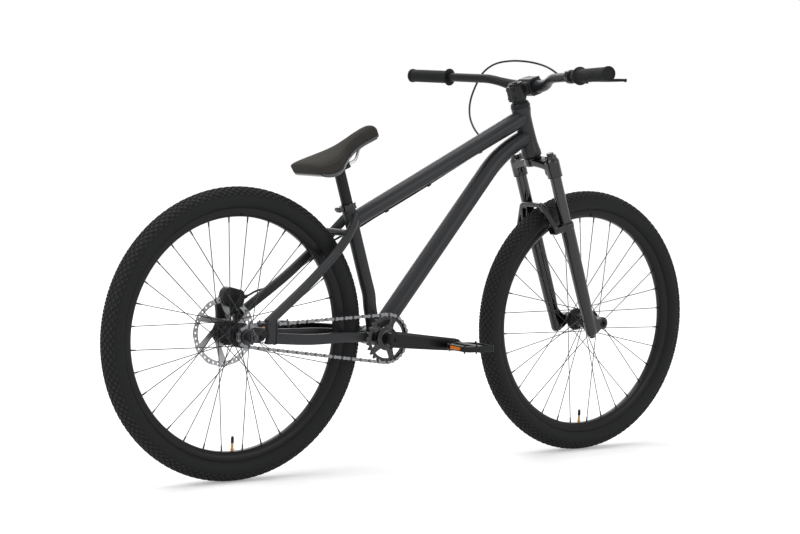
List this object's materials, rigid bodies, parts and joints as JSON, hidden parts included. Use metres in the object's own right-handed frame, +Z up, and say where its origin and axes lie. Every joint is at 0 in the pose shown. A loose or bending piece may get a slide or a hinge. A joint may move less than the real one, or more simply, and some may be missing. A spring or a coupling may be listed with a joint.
{
  "type": "dirt jump bicycle",
  "caption": "Dirt jump bicycle: rigid rear, short suspension fork, small wheels, low saddle tipped back, single speed chain and one rear disc brake.",
  "frame": {"origin": "centre of the bottom bracket shell, on the crank axis", "axes": "+X forward in the direction of travel, +Y to the left of the rider, +Z up"},
  "size_m": [1.6994, 0.7736, 0.9873],
  "materials": {
    "frame_paint": "satin dark graphite paint",
    "satin_black": "satin black",
    "gloss_black": "gloss black lacquer",
    "tyre_rubber": "matt tread and sidewall",
    "grip_rubber": "soft matt rubber",
    "bright_steel": "polished",
    "dark_steel": "oiled steel",
    "suede": "napped, dark brown grey",
    "shell_plastic": "smooth moulded",
    "hose_black": "smooth hose jacket"
  },
  "bodies": {
    "frame": {"head_tube": "frame_paint", "top_tube": "frame_paint", "down_tube": "frame_paint", "seat_tube": "frame_paint", "bottom_bracket_shell": "frame_paint", "chainstay_left": "frame_paint", "chainstay_right": "frame_paint", "seatstay_left": "frame_paint", "seatstay_right": "frame_paint", "dropout_left": "frame_paint", "dropout_right": "frame_paint", "seat_clamp": "satin_black", "headset_upper_cup": "gloss_black", "headset_lower_cup": "gloss_black", "bottom_bracket_cup_left": "satin_black", "bottom_bracket_cup_right": "satin_black", "rear_axle": "dark_steel", "chain_tensioner_left": "satin_black", "chain_tensioner_right": "satin_black", "brake_caliper": "gloss_black", "brake_hose_frame": "hose_black", "chain": "dark_steel"},
    "pad_inboard": {"brake_pad_inboard": "dark_steel"},
    "pad_outboard": {"brake_pad_outboard": "dark_steel"},
    "seat": {"seatpost": "satin_black", "saddle_clamp": "satin_black", "saddle_rails": "bright_steel", "saddle_shell": "shell_plastic", "saddle_cover": "suede"},
    "rear_wheel": {"rear_tyre": "tyre_rubber", "rear_rim": "satin_black", "rear_hub": "satin_black", "brake_rotor": "bright_steel"},
    "cog": {"rear_cog": "dark_steel"},
    "crankset": {"crank_axle": "satin_black", "crank_arm_right": "gloss_black", "crank_arm_left": "gloss_black", "chainring": "satin_black", "pedal_axle_right": "dark_steel", "pedal_axle_left": "dark_steel"},
    "pedal_right_body": {"pedal_right": "satin_black"},
    "pedal_left_body": {"pedal_left": "satin_black"},
    "steerer": {"fork_crown": "gloss_black", "stanchion_left": "bright_steel", "stanchion_right": "bright_steel", "headset_spacer": "satin_black", "stem_top_cap": "satin_black", "stem": "satin_black", "stem_faceplate": "satin_black", "handlebar": "satin_black", "grip_left": "grip_rubber", "grip_right": "grip_rubber", "brake_lever_body": "gloss_black", "brake_hose_bars": "hose_black"},
    "lever": {"brake_lever": "satin_black"},
    "fork_slider": {"fork_lowers": "gloss_black", "front_axle": "bright_steel"},
    "front_wheel": {"front_tyre": "tyre_rubber", "front_rim": "satin_black", "front_hub": "satin_black"}
  },
  "joints": [
    {"name": "steering", "type": "hinge", "parent": "frame", "child": "steerer", "pos_m": [0.43981, 0, 0.49422], "axis": [-0.3371, 0, 0.9415], "range_deg": [-75, 75], "deforming": ["brake_hose_bars"]},
    {"name": "fork_travel", "type": "slide", "parent": "steerer", "child": "fork_slider", "axis": [-0.3371, 0, 0.9415], "range_m": [0, 0.1], "stiffness_N_per_m": 6000, "springref_m": -0.02},
    {"name": "front_wheel_spin", "type": "hinge", "parent": "fork_slider", "child": "front_wheel", "pos_m": [0.6521, 0, 0.0179], "axis": [0, 1, 0], "continuous": true},
    {"name": "rear_wheel_spin", "type": "hinge", "parent": "frame", "child": "rear_wheel", "pos_m": [-0.3823, 0, 0.0179], "axis": [0, 1, 0], "continuous": true},
    {"name": "crank_spin", "type": "hinge", "parent": "frame", "child": "crankset", "pos_m": [0, 0, 0], "axis": [0, 1, 0], "continuous": true, "deforming": ["chain"]},
    {"name": "cog_spin", "type": "hinge", "parent": "frame", "child": "cog", "pos_m": [-0.3823, 0, 0.0179], "axis": [0, 1, 0], "continuous": true},
    {"name": "pedal_right_spin", "type": "hinge", "parent": "crankset", "child": "pedal_right_body", "pos_m": [0.17419, -0.144, -0.01677], "axis": [0, 1, 0], "continuous": true},
    {"name": "pedal_left_spin", "type": "hinge", "parent": "crankset", "child": "pedal_left_body", "pos_m": [-0.17419, 0.144, 0.01677], "axis": [0, 1, 0], "continuous": true},
    {"name": "brake_lever_pull", "type": "hinge", "parent": "steerer", "child": "lever", "pos_m": [0.4239, -0.2327, 0.62246], "axis": [-0.1765, 0.0078, -0.9843], "range_deg": [0, 14], "stiffness_Nm_per_rad": 1, "springref_deg": -11.46},
    {"name": "pad_inboard_travel", "type": "slide", "parent": "frame", "child": "pad_inboard", "axis": [0, 1, 0], "range_m": [0, 0.0004]},
    {"name": "pad_outboard_travel", "type": "slide", "parent": "frame", "child": "pad_outboard", "axis": [0, -1, 0], "range_m": [0, 0.0004]},
    {"name": "seatpost_height", "type": "slide", "parent": "frame", "child": "seat", "axis": [-0.3107, 0, 0.9505], "range_m": [-0.04, 0.06]}
  ],
  "couplings": [
    {"joint": "cog_spin", "follows": "crank_spin", "ratio": 2.5455},
    {"joint": "pad_inboard_travel", "follows": "brake_lever_pull", "m_per_rad": 0.0016},
    {"joint": "pad_outboard_travel", "follows": "brake_lever_pull", "m_per_rad": 0.0016}
  ]
}
